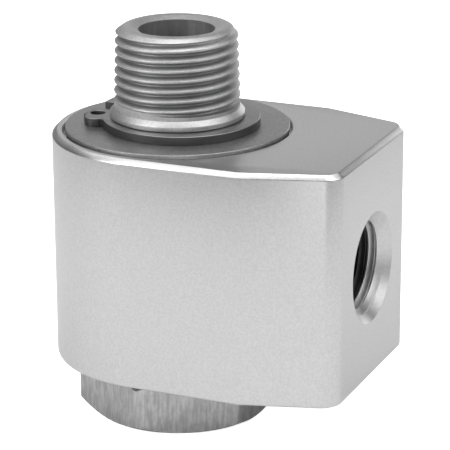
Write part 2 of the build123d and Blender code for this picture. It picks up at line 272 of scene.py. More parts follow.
def free_selection():
    """Leaves edit mode and deselects everything, so that an operator acts on one piece only."""
    if bpy.context.object and bpy.context.object.mode != "OBJECT":
        bpy.ops.object.mode_set(mode="OBJECT")
    bpy.ops.object.select_all(action="DESELECT")


def take(piece):
    """Makes one piece the selected and active one, in object mode."""
    free_selection()
    piece.select_set(True)
    bpy.context.view_layer.objects.active = piece
    return piece


def edit(piece):
    """Opens one piece in edit mode with all of it selected."""
    take(piece)
    bpy.ops.object.mode_set(mode="EDIT")
    bpy.ops.mesh.select_mode(type="VERT")
    bpy.ops.mesh.select_all(action="SELECT")


def settle(piece):
    """Leaves the piece's object at the origin, unturned and unscaled, with its place in its mesh."""
    take(piece)
    bpy.ops.object.transform_apply(location=True, rotation=True, scale=True)
    return piece


def pick(piece, kind, test):
    """Selects in edit mode the vertices, edges or faces that pass a test, and nothing else."""
    bpy.ops.mesh.select_mode(type=kind)
    bpy.ops.mesh.select_all(action="DESELECT")
    mesh = bmesh.from_edit_mesh(piece.data)
    items = {"VERT": mesh.verts, "EDGE": mesh.edges, "FACE": mesh.faces}[kind]
    for item in items:
        if test(item):
            item.select_set(True)
    mesh.select_flush_mode()
    bmesh.update_edit_mesh(piece.data)


def close_up(piece):
    """Merges doubles and turns all faces outwards."""
    edit(piece)
    bpy.ops.mesh.remove_doubles(threshold=WELD)
    bpy.ops.mesh.normals_make_consistent(inside=False)
    free_selection()
    return piece


def apply_modifier(piece, kind, **settings):
    """Adds one modifier to the piece, with its settings, and applies it."""
    take(piece)
    modifier = piece.modifiers.new(kind.lower(), kind)
    for key, value in settings.items():
        setattr(modifier, key, value)
    bpy.ops.object.modifier_apply(modifier=modifier.name)
    return piece


def combine(piece, tool, operation):
    """Joins, cuts or intersects the piece with a tool, and takes the tool away."""
    apply_modifier(piece, "BOOLEAN", operation=operation, object=tool, solver="EXACT")
    bpy.data.objects.remove(tool)
    return piece


def soften(piece, width, segments=2, limit=25):
    """Rounds every edge that turns by more than a limit in degrees."""
    return apply_modifier(
        piece, "BEVEL", width=width, segments=segments, limit_method="ANGLE", angle_limit=math.radians(limit)
    )


def draw_profile(points):
    """Draws an open half section in the XZ plane, from (radius, z) points, by extruding one vertex."""
    free_selection()
    bpy.ops.mesh.primitive_plane_add(size=MM)
    piece = bpy.context.object
    edit(piece)
    bpy.ops.mesh.merge(type="CENTER")
    bpy.ops.transform.translate(value=(points[0][0], 0, points[0][1]))
    for (radius, z), (next_radius, next_z) in zip(points, points[1:]):
        step = (next_radius - radius, 0, next_z - z)
        bpy.ops.mesh.extrude_vertices_move(TRANSFORM_OT_translate={"value": step})
    return piece


def spun(points, steps=TURN_STEPS, closed=False):
    """A turned solid about Z from its half section, which ends on the axis or closes on itself."""
    piece = draw_profile(points)
    if closed:
        first, last = Vector((points[0][0], 0, points[0][1])), Vector((points[-1][0], 0, points[-1][1]))
        pick(piece, "VERT", lambda v: min((v.co - first).length, (v.co - last).length) < WELD)
        bpy.ops.mesh.edge_face_add()
    bpy.ops.mesh.select_all(action="SELECT")
    bpy.ops.mesh.spin(steps=steps, angle=FULL_TURN, center=(0, 0, 0), axis=(0, 0, 1))
    return close_up(piece)


def cap(rod):
    """Closes both open ends of a rod, each with a fan of faces to a point in its middle."""
    heights = [vertex.co.z for vertex in rod.data.vertices]
    middle = (min(heights) + max(heights)) / 2
    edit(rod)
    for side in (-1, 1):
        pick(rod, "EDGE", lambda e: e.is_boundary and side * (e.verts[0].co.z - middle) > 0)
        bpy.ops.mesh.extrude_edges_move(TRANSFORM_OT_translate={"value": (0, 0, 0)})
        bpy.ops.mesh.merge(type="CENTER")
    return close_up(rod)


def thread_form(sizes):
    """Half section of one turn of a full-form thread: (depth under the crest, z), from crest to crest."""
    radius = sizes.rounding * sizes.pitch
    depth = sizes.depth * sizes.pitch
    reach = math.pi / 2 - sizes.flank_angle
    points = []
    for step in range(-sizes.arc_steps, sizes.arc_steps + 1, 2):
        turn = reach * step / sizes.arc_steps
        points.append((radius * (1 - math.cos(turn)), radius * math.sin(turn)))
    for step in range(-sizes.arc_steps, sizes.arc_steps + 1, 2):
        turn = reach * step / sizes.arc_steps
        points.append((depth - radius * (1 - math.cos(turn)), sizes.pitch / 2 + radius * math.sin(turn)))
    return points


def threaded_rod(sizes, crest_radius, low, high, crest_level, steps=TURN_STEPS):
    """A right-hand threaded rod about Z between two levels, with a crest at crest_level on the +X side."""
    start = crest_level + sizes.pitch * (math.floor((low - crest_level) / sizes.pitch) - 2)
    turns = math.ceil((high - start) / sizes.pitch) + 1
    form = thread_form(sizes)
    profile = [(crest_radius - d, start + n * sizes.pitch + z) for n in range(turns) for d, z in form]
    rod = draw_profile(profile)
    apply_modifier(
        rod, "SCREW", axis="Z", angle=FULL_TURN, screw_offset=sizes.pitch, steps=steps, render_steps=steps,
        use_merge_vertices=True, merge_threshold=WELD,
    )
    cap(close_up(rod))
    return combine(rod, column(crest_radius + OVERSHOOT, (0, 0), low, high, steps), "INTERSECT")


def finish_piece(piece, name, body, slot, *nodes):
    """Names a finished piece, shades it, gives it its slot's material and hands it to the frame."""
    take(piece)
    bpy.ops.object.shade_smooth_by_angle(angle=SMOOTH_ANGLE)
    piece.name = name
    piece.data.name = name
    piece.data.materials.clear()
    piece.data.materials.append(material(slot))
    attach(piece, body)
    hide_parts(*nodes)
    free_selection()
    return piece


def housing_block(sizes):
    """The block: round end, parallel sides and tapered end, drawn flat, raised and broken at its edges."""
    radius = HOUSING_HIGH.y
    free_selection()
    bpy.ops.mesh.primitive_circle_add(vertices=OUTLINE_STEPS, radius=radius, location=(0, 0, HOUSING_LOW.z))
    block = settle(bpy.context.object)
    edit(block)
    pick(block, "VERT", lambda v: v.co.x > WELD)
    bpy.ops.mesh.delete(type="VERT")
    pick(block, "VERT", lambda v: v.co.x > -WELD)
    bpy.ops.mesh.extrude_vertices_move(TRANSFORM_OT_translate={"value": (sizes.parallel_end, 0, 0)})
    taper_length = HOUSING_HIGH.x - sizes.parallel_end
    bpy.ops.mesh.extrude_vertices_move(TRANSFORM_OT_translate={"value": (taper_length, 0, 0)})
    bpy.ops.transform.resize(value=(1, sizes.end_half_width / radius, 1), center_override=(0, 0, 0))
    bpy.ops.mesh.edge_face_add()
    bpy.ops.mesh.select_all(action="SELECT")
    bpy.ops.mesh.edge_face_add()
    height = HOUSING_HIGH.z - HOUSING_LOW.z
    bpy.ops.mesh.extrude_region_move(TRANSFORM_OT_translate={"value": (0, 0, height)})
    bpy.ops.mesh.select_all(action="SELECT")
    bpy.ops.mesh.normals_make_consistent(inside=False)
    taper = math.atan2(radius - sizes.end_half_width, taper_length)
    tangent = sizes.corner_radius * math.tan((math.pi / 2 - taper) / 2)
    pick(block, "EDGE", lambda e: min(v.co.x for v in e.verts) > HOUSING_HIGH.x - WELD and upright(e))
    bpy.ops.mesh.bevel(offset=tangent, segments=CORNER_STEPS, profile=0.5, affect="EDGES")
    pick(block, "EDGE", lambda e: min(v.co.z for v in e.verts) > HOUSING_HIGH.z - WELD)
    bpy.ops.mesh.bevel(offset=sizes.top_break, segments=1, affect="EDGES")
    pick(block, "EDGE", lambda e: max(v.co.z for v in e.verts) < HOUSING_LOW.z + WELD)
    bpy.ops.mesh.bevel(offset=sizes.bottom_break, segments=3, profile=0.5, affect="EDGES")
    free_selection()
    return soften(block, sizes.softness)


def upright(edge):
    """Whether an edge stands parallel to Z."""
    first, second = (v.co for v in edge.verts)
    return (first - second).to_2d().length < WELD < abs(first.z - second.z)


def housing_bore(sizes):
    """The stepped through bore: a seat for each race, the packing bore between them and the disc's recess."""
    seat = RACE_SEAT_RADIUS
    packing = LANTERN_HIGH.x + SEAT_CLEARANCE
    recess = DISC_HIGH.x + RECESS_CLEARANCE
    recess_floor = DISC_HIGH.z - bpy.context.scene.swivel_cover.plate_thickness - RECESS_CLEARANCE
    washer_step = WASHER_LOW.z - PORT_Z
    edge = sizes.recess_break
    return spun(
        [
            (0, HOUSING_LOW.z - OVERSHOOT),
            (seat + edge + OVERSHOOT, HOUSING_LOW.z - OVERSHOOT),
            (seat, HOUSING_LOW.z + edge),
            (seat, PORT_Z - washer_step),
            (packing, PORT_Z - washer_step),
            (packing, PORT_Z + washer_step),
            (seat, PORT_Z + washer_step),
            (seat, recess_floor),
            (recess, recess_floor),
            (recess, HOUSING_HIGH.z - edge),
            (recess + edge + OVERSHOOT, HOUSING_HIGH.z + OVERSHOOT),
            (0, HOUSING_HIGH.z + OVERSHOOT),
        ],
        OUTLINE_STEPS,
    )


def face_the_end(tool):
    """Turns a tool drawn along Z, from the end face inwards, so that it enters the side port."""
    take(tool)
    turn = Matrix.Rotation(-math.pi / 2, 4, "Y")
    tool.matrix_world = Matrix.Translation((HOUSING_HIGH.x, 0, PORT_Z)) @ turn
    return settle(tool)


def port_bore(sizes):
    """The port as its drills leave it: countersink, tapping bore, drill point and gallery."""
    sink = sizes.countersink_radius - sizes.minor_radius
    point = (sizes.minor_radius - sizes.gallery_radius) / math.tan(DRILL_POINT)
    gallery_depth = HOUSING_HIGH.x - LANTERN_HIGH.x + OVERSHOOT
    return face_the_end(
        spun(
            [
                (0, -OVERSHOOT),
                (sizes.countersink_radius + OVERSHOOT, -OVERSHOOT),
                (sizes.minor_radius, sink),
                (sizes.minor_radius, sizes.drill_depth),
                (sizes.gallery_radius, sizes.drill_depth + point),
                (sizes.gallery_radius, gallery_depth),
                (0, gallery_depth),
            ],
        )
    )


def port_thread(sizes, thread):
    """The tap that cuts the port's thread, which runs out into the countersink."""
    crest_radius = sizes.minor_radius + thread.depth * thread.pitch
    crest_level = sizes.crest_phase * thread.pitch
    rod = threaded_rod(thread, crest_radius, -OVERSHOOT / 2, sizes.thread_depth, crest_level)
    return face_the_end(rod)


def model_housing(scene):
    """The housing with its bore and its threaded port."""
    block = housing_block(scene.swivel_housing)
    combine(block, housing_bore(scene.swivel_housing), "DIFFERENCE")
    combine(block, port_bore(scene.swivel_housing), "DIFFERENCE")
    combine(block, port_thread(scene.swivel_housing, scene.swivel_thread), "DIFFERENCE")
    return close_up(block)


def hexagon(sizes):
    """The drawn hexagon, its corners cut back by a turned chamfer above and below."""
    corner = sizes.hex_apothem / math.cos(math.pi / 6)
    face_radius = sizes.hex_apothem - sizes.hex_chamfer
    drop = (corner - face_radius) * math.tan(math.pi / 6)
    free_selection()
    bpy.ops.mesh.primitive_cylinder_add(vertices=6, radius=corner, depth=sizes.hex_height)
    bar = bpy.context.object
    first_corner = math.atan2(bar.data.vertices[0].co.y, bar.data.vertices[0].co.x)
    bar.matrix_world = Matrix.Translation((0, 0, sizes.hex_height / 2)) @ Matrix.Rotation(
        sizes.hex_turn - first_corner, 4, "Z"
    )
    settle(bar)
    edit(bar)
    pick(bar, "EDGE", upright)
    bpy.ops.mesh.bevel(offset=sizes.hex_corner, segments=4, profile=0.5, affect="EDGES")
    envelope = spun(
        [
            (0, 0),
            (face_radius, 0),
            (corner, drop),
            (corner, sizes.hex_height - drop),
            (face_radius, sizes.hex_height),
            (0, sizes.hex_height),
        ],
        OUTLINE_STEPS,
    )
    combine(bar, envelope, "INTERSECT")
    return close_up(bar)


def thread_crest(sizes, z):
    """Crest radius of the tapered thread at a level: it loses 1 in 16 of its diameter."""
    return sizes.gauge_radius + (SHAFT_HIGH.z - sizes.gauge_length - z) * TAPER


def collar_top(sizes):
    """Level of the top of the collar, where the plain band under the thread starts."""
    return CLIP_LOW.z + sizes.groove_width + sizes.collar_height


def shaft_stem(sizes):
    """The turned shaft from the hexagon up to the collar under the thread."""
    top = collar_top(sizes)
    stem = spun(
        [
            (0, sizes.hex_height - OVERSHOOT),
            (sizes.journal_radius + SHOULDER_STEP, sizes.hex_height - OVERSHOOT),
            (sizes.journal_radius + SHOULDER_STEP, HOUSING_LOW.z),
            (sizes.journal_radius, HOUSING_LOW.z),
            (sizes.journal_radius, PORT_Z - FLOW_GROOVE_HALF_WIDTH),
            (sizes.journal_radius - FLOW_GROOVE_DEPTH, PORT_Z - FLOW_GROOVE_HALF_WIDTH),
            (sizes.journal_radius - FLOW_GROOVE_DEPTH, PORT_Z + FLOW_GROOVE_HALF_WIDTH),
            (sizes.journal_radius, PORT_Z + FLOW_GROOVE_HALF_WIDTH),
            (sizes.journal_radius, CLIP_LOW.z),
            (sizes.groove_radius, CLIP_LOW.z),
            (sizes.groove_radius, CLIP_LOW.z + sizes.groove_width),
            (sizes.journal_radius, CLIP_LOW.z + sizes.groove_width),
            (sizes.journal_radius, top - sizes.collar_chamfer),
            (sizes.journal_radius - sizes.collar_chamfer - STEM_BURIED, top + STEM_BURIED),
            (0, top + STEM_BURIED),
        ]
    )
    return soften(stem, sizes.edge_softness)


def thread_envelope(sizes):
    """The outside that the tapered thread is turned to: the plain band at its foot and the end chamfer."""
    low = collar_top(sizes)
    band = sizes.journal_radius - sizes.collar_chamfer
    band_top = low + sizes.band_height
    lead = thread_crest(sizes, band_top) - band + OVERSHOOT / 2
    crest_end = SHAFT_HIGH.z - sizes.end_height
    crest = thread_crest(sizes, crest_end)
    return spun(
        [
            (0, low - OVERSHOOT / 2),
            (band, low - OVERSHOOT / 2),
            (band, band_top),
            (band + lead, band_top + lead),
            (crest + OVERSHOOT / 2, crest_end - math.tan(sizes.end_slope) * OVERSHOOT / 2),
        ]
        + crown(sizes)
        + [
            (sizes.bore_radius, SHAFT_HIGH.z - sizes.mouth_depth),
            (0, SHAFT_HIGH.z - sizes.mouth_depth),
        ]
    )


def crown(sizes):
    """The round between the end's outer slope and the cone of its mouth, as (radius, z) points."""
    centre = SHAFT_HIGH.z - sizes.crown_radius
    sweep = sizes.end_slope + sizes.mouth_slope
    points = []
    for step in range(CROWN_STEPS + 1):
        turn = sizes.end_slope - sweep * step / CROWN_STEPS
        radius = sizes.crown_middle + sizes.crown_radius * math.sin(turn)
        points.append((radius, centre + sizes.crown_radius * math.cos(turn)))
    return points


def thread_start(sizes):
    """Rounds that fill the groove at the thread's foot: one fades it out, one keeps the band plain."""
    low = collar_top(sizes) - OVERSHOOT / 2
    band = sizes.journal_radius - sizes.collar_chamfer
    fade = column(
        sizes.runout_radius, polar(sizes.runout_shift, sizes.runout_turn), low,
        collar_top(sizes) + sizes.band_height, TURN_STEPS,
    )
    plain = column(band + OVERSHOOT / 4, (0, 0), low - sizes.start_level - OVERSHOOT, 0, TURN_STEPS)
    axis = Vector((math.sin(sizes.start_turn), -math.cos(sizes.start_turn), 0))
    tilt = Matrix.Rotation(math.atan2(sizes.start_rise, band), 4, axis)
    plain.matrix_world = Matrix.Translation((0, 0, sizes.start_level)) @ tilt
    return [fade, settle(plain)]


def tapered_thread(sizes, thread):
    """The male pipe thread: a straight thread tapered about its gauge plane, then turned to its envelope."""
    gauge_z = SHAFT_HIGH.z - sizes.gauge_length
    low = collar_top(sizes) - OVERSHOOT / 2
    crest_level = sizes.crest_level - gauge_z
    rod = threaded_rod(
        thread, sizes.gauge_radius, low - gauge_z - OVERSHOOT, sizes.gauge_length + OVERSHOOT, crest_level
    )
    extent = max(v.co.z for v in rod.data.vertices) - min(v.co.z for v in rod.data.vertices)
    factor = -extent * TAPER / sizes.gauge_radius
    apply_modifier(rod, "SIMPLE_DEFORM", deform_method="TAPER", deform_axis="Z", factor=factor)
    rod.location.z = gauge_z
    settle(rod)
    for fill in thread_start(sizes):
        combine(rod, fill, "UNION")
    return combine(rod, thread_envelope(sizes), "INTERSECT")


def shaft_bore(sizes):
    """The blind flow bore with its drill point."""
    floor = PORT_Z - BORE_BELOW_PORT
    return spun(
        [
            (0, floor - sizes.bore_radius / math.tan(DRILL_POINT)),
            (sizes.bore_radius, floor),
            (sizes.bore_radius, SHAFT_HIGH.z + OVERSHOOT),
            (0, SHAFT_HIGH.z + OVERSHOOT),
        ]
    )


def cross_holes(sizes):
    """The drillings through the shaft at the port's level."""
    drills = []
    depth = 2 * sizes.journal_radius + OVERSHOOT
    for number in range(CROSS_HOLE_PAIRS):
        free_selection()
        bpy.ops.mesh.primitive_cylinder_add(
            vertices=SMALL_TURN_STEPS, radius=sizes.cross_hole_radius, depth=depth,
            location=(0, 0, PORT_Z), rotation=(math.pi / 2, 0, number * math.pi / CROSS_HOLE_PAIRS),
        )
        drills.append(settle(bpy.context.object))
    return drills


def model_shaft(scene):
    """The shaft in one piece: hexagon, journal, collar, thread, bore and cross holes."""
    sizes = scene.swivel_shaft
    shaft = shaft_stem(sizes)
    combine(shaft, tapered_thread(sizes, scene.swivel_thread), "UNION")
    combine(shaft, shaft_bore(sizes), "DIFFERENCE")
    for drill in cross_holes(sizes):
        combine(shaft, drill, "DIFFERENCE")
    combine(shaft, hexagon(sizes), "UNION")
    return close_up(shaft)


def model_disc(scene):
    """The cover disc, with a land that stands on the inner race."""
    sizes = scene.swivel_cover
    bore = scene.swivel_shaft.journal_radius + SEAT_CLEARANCE
    plate = DISC_HIGH.z - sizes.plate_thickness
    disc = spun(
        [
            (bore, DISC_LOW.z),
            (sizes.land_radius, DISC_LOW.z),
            (sizes.land_radius, plate),
            (DISC_HIGH.x, plate),
            (DISC_HIGH.x, DISC_HIGH.z),
            (bore, DISC_HIGH.z),
        ],
        OUTLINE_STEPS,
        closed=True,
    )
    return soften(disc, sizes.disc_edge, segments=3)


def column(radius, centre, low, high, steps):
    """An upright round bar at a point in the plan."""
    free_selection()
    bpy.ops.mesh.primitive_cylinder_add(
        vertices=steps, radius=radius, depth=high - low, location=(centre[0], centre[1], (low + high) / 2)
    )
    return settle(bpy.context.object)


def slab(outline, low, high):
    """A flat plate with a polygon's outline, between two levels."""
    free_selection()
    bpy.ops.mesh.primitive_plane_add(size=MM, location=(0, 0, low))
    plate = settle(bpy.context.object)
    edit(plate)
    bpy.ops.mesh.merge(type="CENTER")
    bpy.ops.transform.translate(value=(outline[0][0], outline[0][1], 0))
    for (x, y), (next_x, next_y) in zip(outline, outline[1:]):
        step = (next_x - x, next_y - y, 0)
        bpy.ops.mesh.extrude_vertices_move(TRANSFORM_OT_translate={"value": step})
    bpy.ops.mesh.select_all(action="SELECT")
    bpy.ops.mesh.edge_face_add()
    bpy.ops.mesh.extrude_region_move(TRANSFORM_OT_translate={"value": (0, 0, high - low)})
    return close_up(plate)


def polar(radius, turn):
    """A point in the plan, from its distance to the axis and its angle in radians."""
    return radius * math.cos(turn), radius * math.sin(turn)


def arc(centre, radius, first, last, steps):
    """Points along an arc about a centre, between two angles in radians."""
    turns = [first + (last - first) * step / steps for step in range(steps + 1)]
    return [centre + Vector(polar(radius, turn)) for turn in turns]


def bearing(centre, point):
    """Angle in radians at which a point lies from a centre."""
    return math.atan2(point.y - centre.y, point.x - centre.x)


def meet(first, first_radius, second, second_radius):
    """Where two rounds cross, on the right of the way from the first to the second."""
    way = (second - first).normalized()
    apart = (second - first).length
    along = (first_radius ** 2 - second_radius ** 2 + apart ** 2) / (2 * apart)
    aside = math.sqrt(first_radius ** 2 - along ** 2)
    return first + way * along + Vector((way.y, -way.x)) * aside


def clip_half(sizes, bore):
    """Half of the retaining ring's outline: its outside from the gap to the back, then its inside."""
    gap = sizes.gap_width / 2
    axis, band = Vector((0, 0)), Vector((-sizes.eccentricity, 0))
    eye = Vector(polar(sizes.eye_distance, sizes.eye_angle))
    shoulder = Vector(polar(sizes.shoulder_distance, sizes.shoulder_angle))
    corner = meet(eye, sizes.lug_radius, shoulder, sizes.shoulder_radius)
    outside = [Vector((eye.x + sizes.lug_radius, gap))]
    outside += arc(eye, sizes.lug_radius, 0, bearing(eye, corner), LUG_STEPS)
    outside += arc(
        shoulder, sizes.shoulder_radius, bearing(shoulder, corner), sizes.foot_angle, LUG_STEPS
    )[1:]
    outside += arc(band, sizes.band_radius, sizes.neck_angle, math.pi, TURN_STEPS // 2)
    inside = arc(axis, bore, math.asin(gap / bore), math.pi, TURN_STEPS // 2)
    return outside, inside


def mirrored(points):
    """The points of the other half, on the other side of the gap."""
    return [Vector((point.x, -point.y)) for point in points]


def model_clip(scene):
    """The retaining ring: an eccentric band with an eyed lug on each side of its gap."""
    sizes = scene.swivel_cover
    outside, inside = clip_half(sizes, scene.swivel_shaft.groove_radius + SEAT_CLEARANCE)
    outline = outside + mirrored(outside[-2::-1]) + mirrored(inside) + inside[-2::-1]
    clip = slab(outline, CLIP_LOW.z, CLIP_HIGH.z)
    low, high = CLIP_LOW.z - OVERSHOOT, CLIP_HIGH.z + OVERSHOOT
    for side in (-1, 1):
        eye = polar(sizes.eye_distance, side * sizes.eye_angle)
        combine(clip, column(sizes.eye_radius, eye, low, high, SMALL_TURN_STEPS), "DIFFERENCE")
    clip.rotation_euler.z = sizes.gap_angle
    settle(clip)
    return soften(clip, sizes.stamped_edge, segments=3, limit=35)


def model_balls(scene, race):
    """The ground balls of one race: a cube cast to a sphere, then copied round the pitch circle."""
    sizes = scene.swivel_inner
    low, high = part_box(race + "_balls")
    middle = (low.z + high.z) / 2
    free_selection()
    bpy.ops.mesh.primitive_cube_add(size=2 * sizes.ball_radius)
    ball = bpy.context.object
    edit(ball)
    bpy.ops.mesh.subdivide(number_cuts=BALL_CUTS)
    free_selection()
    apply_modifier(
        ball, "CAST", cast_type="SPHERE", factor=1.0, use_radius_as_size=False, size=sizes.ball_radius
    )
    ball.location = (sizes.pitch_radius, 0, middle)
    settle(ball)
    row = [ball]
    for number in range(1, sizes.ball_count):
        take(ball)
        bpy.ops.object.duplicate()
        copy = bpy.context.object
        copy.rotation_euler.z = number * FULL_TURN / sizes.ball_count
        row.append(settle(copy))
    free_selection()
    for piece in row:
        piece.select_set(True)
    bpy.context.view_layer.objects.active = ball
    bpy.ops.object.join()
    return ball


class Value:
    """One socket of a finish. Python's own signs on it add the Math nodes."""

    def __init__(self, finish, socket):
        self.finish = finish
        self.socket = socket

    def __add__(self, other):
        return self.finish.math("ADD", self, other)

    def __sub__(self, other):
        return self.finish.math("SUBTRACT", self, other)

    def __rsub__(self, other):
        return self.finish.math("SUBTRACT", other, self)

    def __mul__(self, other):
        return self.finish.math("MULTIPLY", self, other)

    def __truediv__(self, other):
        return self.finish.math("DIVIDE", self, other)

    def __rtruediv__(self, other):
        return self.finish.math("DIVIDE", other, self)

    __radd__ = __add__
    __rmul__ = __mul__


class Finish:
    """A procedural material on Object coordinates, built node by node."""

    def __init__(self, name, **constants):
        self.material = bpy.data.materials.new(name)
        self.material.use_nodes = True
        self.tree = self.material.node_tree
        self.shader = next(n for n in self.tree.nodes if n.type == "BSDF_PRINCIPLED")
        for key, value in constants.items():
            self.shader.inputs[key.replace("_", " ")].default_value = value
        self.place = self.node("ShaderNodeTexCoord", output="Object")
        self.x, self.y, self.z = self.axes(self.place)

    def node(self, kind, settings=None, inputs=None, output=0):
        """Adds one node: its settings first, then a value or a link for each socket that is named."""
        node = self.tree.nodes.new(kind)
        for key, value in (settings or {}).items():
            setattr(node, key, value)
        for key, value in (inputs or {}).items():
            if isinstance(value, Value):
                self.tree.links.new(value.socket, node.inputs[key])
            else:
                node.inputs[key].default_value = value
        return Value(self, node.outputs[output])

    def axes(self, vector):
        """The three parts of a vector."""
        outputs = self.node("ShaderNodeSeparateXYZ", inputs={0: vector}).socket.node.outputs
        return tuple(Value(self, outputs[number]) for number in range(3))

    def from_axis(self, first, second):
        """Distance from an axis, by the two parts of the way to it."""
        return self.math("SQRT", first * first + second * second)

    def edgewise(self):
        """1 on upright surfaces and 0 on level ones."""
        upright_limit, level_limit = 0.35, 0.75
        up = self.axes(self.node("ShaderNodeTexCoord", output="Normal"))[2]
        return 1 - self.step(self.math("ABSOLUTE", up), upright_limit, level_limit)

    def math(self, operation, *values):
        """One Math node."""
        return self.node("ShaderNodeMath", {"operation": operation}, dict(enumerate(values)))

    def step(self, value, start, end):
        """0 below start and 1 above end, with a soft edge between them."""
        return self.node(
            "ShaderNodeMapRange", {"interpolation_type": "SMOOTHSTEP"},
            {"Value": value, "From Min": start, "From Max": end},
        )

    def within(self, value, limit):
        """1 up to a limit and 0 a little beyond it."""
        return 1 - self.step(value, limit, limit + FINISH_EDGE)

    def contrast(self, noise, spread=0.2):
        """A noise whose greys are pulled apart about their middle."""
        return self.step(noise, 0.5 - spread, 0.5 + spread)

    def noise(self, size, detail=3.0, stretch=(1, 1, 1), roughness=0.5):
        """Noise from 0 to 1 with grains about size metres across, and longer where stretch is under 1."""
        scale = tuple(part / size for part in stretch)
        place = self.node("ShaderNodeMapping", inputs={"Vector": self.place, "Scale": scale})
        inputs = {"Vector": place, "Scale": 1.0, "Detail": detail, "Roughness": roughness}
        return self.node("ShaderNodeTexNoise", inputs=inputs)

    def tint(self, factor, low, high):
        """A colour between two, by a value from 0 to 1."""
        inputs = {0: factor, 6: (*low, 1), 7: (*high, 1)}
        return self.node("ShaderNodeMix", {"data_type": "RGBA"}, inputs, output=2)

    def mix(self, factor, first, second):
        """A colour that goes from a first one, which varies, to a plain second one."""
        inputs = {0: factor, 6: first, 7: (*second, 1)}
        return self.node("ShaderNodeMix", {"data_type": "RGBA"}, inputs, output=2)

    def bump(self, height, distance):
        """Bumps of a height from 0 to 1 that rise by a distance in metres."""
        return self.node("ShaderNodeBump", inputs={"Height": height, "Distance": distance, "Strength": 1.0})

    def set(self, **sockets):
        """Feeds the shader's varying sockets."""
        for key, value in sockets.items():
            self.tree.links.new(value.socket, self.shader.inputs[key.replace("_", " ")])
        return self.material


def darker(colour, share_left):
    """A colour with only a share of its light left."""
    return tuple(channel * share_left for channel in colour)


def satin_steel(colours):
    """The housing's satin finish: a fine blasted grain over faint clouds, rougher inside the port, with
    painted shade deep in the port past its first turn.
    """
    finish = Finish("satin_housing_steel", Metallic=1.0)
    sizes, thread = bpy.context.scene.swivel_housing, bpy.context.scene.swivel_thread
    first_turn = HOUSING_HIGH.x - (sizes.countersink_radius - sizes.minor_radius) - thread.pitch
    fade = 4 * FINISH_EDGE
    radius = finish.from_axis(finish.y, finish.z - PORT_Z)
    port = finish.within(radius, sizes.countersink_radius) * finish.step(finish.x, 0.0, LANTERN_HIGH.x)
    # Painted shade: past its first turn the port's inside is darkened to an eighth of the housing's colour.
    port_shade = port * (1 - finish.step(finish.x, first_turn - fade, first_turn))
    grain = finish.noise(0.3 * MM)
    clouds = finish.noise(5.0 * MM, 4.0)
    tone = clouds * 0.3 + finish.contrast(grain) * 0.7
    colour = finish.tint(tone, darker(colours.housing, 0.85), colours.housing)
    shaded = finish.mix(port_shade, colour, darker(colours.housing, 0.12))
    roughness = 0.28 + clouds * 0.06 + grain * 0.05 + port * 0.1
    return finish.set(Base_Color=shaded, Roughness=roughness, Normal=finish.bump(grain, 0.005 * MM))


def turned_steel(colours):
    """The shaft's finish: turning marks round its axis, a drawn grain along the hexagon's flats, and painted
    shade in the flow bore and in the thread's grooves.
    """
    finish = Finish("turned_shaft_steel", Metallic=1.0)
    sizes = bpy.context.scene.swivel_shaft
    radius = finish.from_axis(finish.x, finish.y)
    flats = finish.within(finish.z, sizes.hex_height)
    in_bore = finish.within(radius, sizes.bore_radius)
    turned_place = finish.node("ShaderNodeCombineXYZ", inputs={0: radius, 2: finish.z})
    turned_inputs = {"Vector": turned_place, "Scale": 1 / (0.07 * MM), "Detail": 2.0}
    marks = finish.node("ShaderNodeTexNoise", inputs=turned_inputs)
    drawn = finish.noise(0.35 * MM, 4.0, (1, 1, 0.12), 0.6)
    mottle = finish.noise(1.1 * MM, 5.0, (1, 1, 0.6), 0.65)
    mist = finish.contrast(finish.noise(0.35 * MM))
    bore_shade_streaks = finish.noise(0.8 * MM, 4.0, (1, 1, 0.15), 0.6)
    patches = finish.contrast(mottle * 0.5 + drawn * 0.5, 0.12)
    tone = (marks * 0.3 + mist * 0.7) * (1 - flats) + flats
    colour = finish.tint(tone, darker(colours.shaft, 0.8), colours.shaft)
    colour = finish.mix(flats * (1 - patches), colour, darker(colours.shaft, 0.68))
    # Painted shade: the inside of the flow bore is darkened, in streaks along its length.
    colour = finish.mix(in_bore * (0.35 + bore_shade_streaks), colour, darker(colours.shaft, 0.5))
    # Painted shade: the male thread's grooves are darkened towards their roots, outside the bore.
    groove = painted_groove_shade(finish, sizes, radius) * (1 - in_bore)
    colour = finish.mix(groove, colour, darker(colours.shaft, 0.55))
    relief = marks * (1 - flats) + (drawn * 0.6 + mottle * 0.4) * flats
    roughness = 0.43 + marks * 0.06 + flats * (mottle * 0.1 - 0.04) + in_bore * 0.15
    return finish.set(Base_Color=colour, Roughness=roughness, Normal=finish.bump(relief, 0.006 * MM))


def painted_groove_shade(finish, sizes, radius):
    """Mask of painted shade in the male thread: rises from 0 at its crests to 1 deep in its groove."""
    foot = collar_top(sizes) + sizes.band_height
    crown_foot = SHAFT_HIGH.z - sizes.end_height
    depth = thread_crest(sizes, finish.z) - radius
    in_groove = finish.step(depth, 0.12 * MM, 0.6 * MM)
    above_foot = finish.step(finish.z, foot - 3 * FINISH_EDGE, foot - FINISH_EDGE)
    under_crown = 1 - finish.step(finish.z, crown_foot - 3 * FINISH_EDGE, crown_foot)
    return in_groove * above_foot * under_crown


def rolled_steel(colours):
    """The cover disc's finish: rolled sheet, matt and faintly clouded."""
    finish = Finish("rolled_disc_steel", Metallic=1.0)
    grain = finish.noise(0.3 * MM, 3.0, (1, 0.5, 1))
    clouds = finish.noise(3.0 * MM, 4.0)
    tone = clouds * 0.3 + finish.contrast(grain) * 0.7
    colour = finish.tint(tone, darker(colours.cover, 0.75), colours.cover)
    roughness = 0.38 + clouds * 0.08 + grain * 0.05
    return finish.set(Base_Color=colour, Roughness=roughness, Normal=finish.bump(grain, 0.005 * MM))


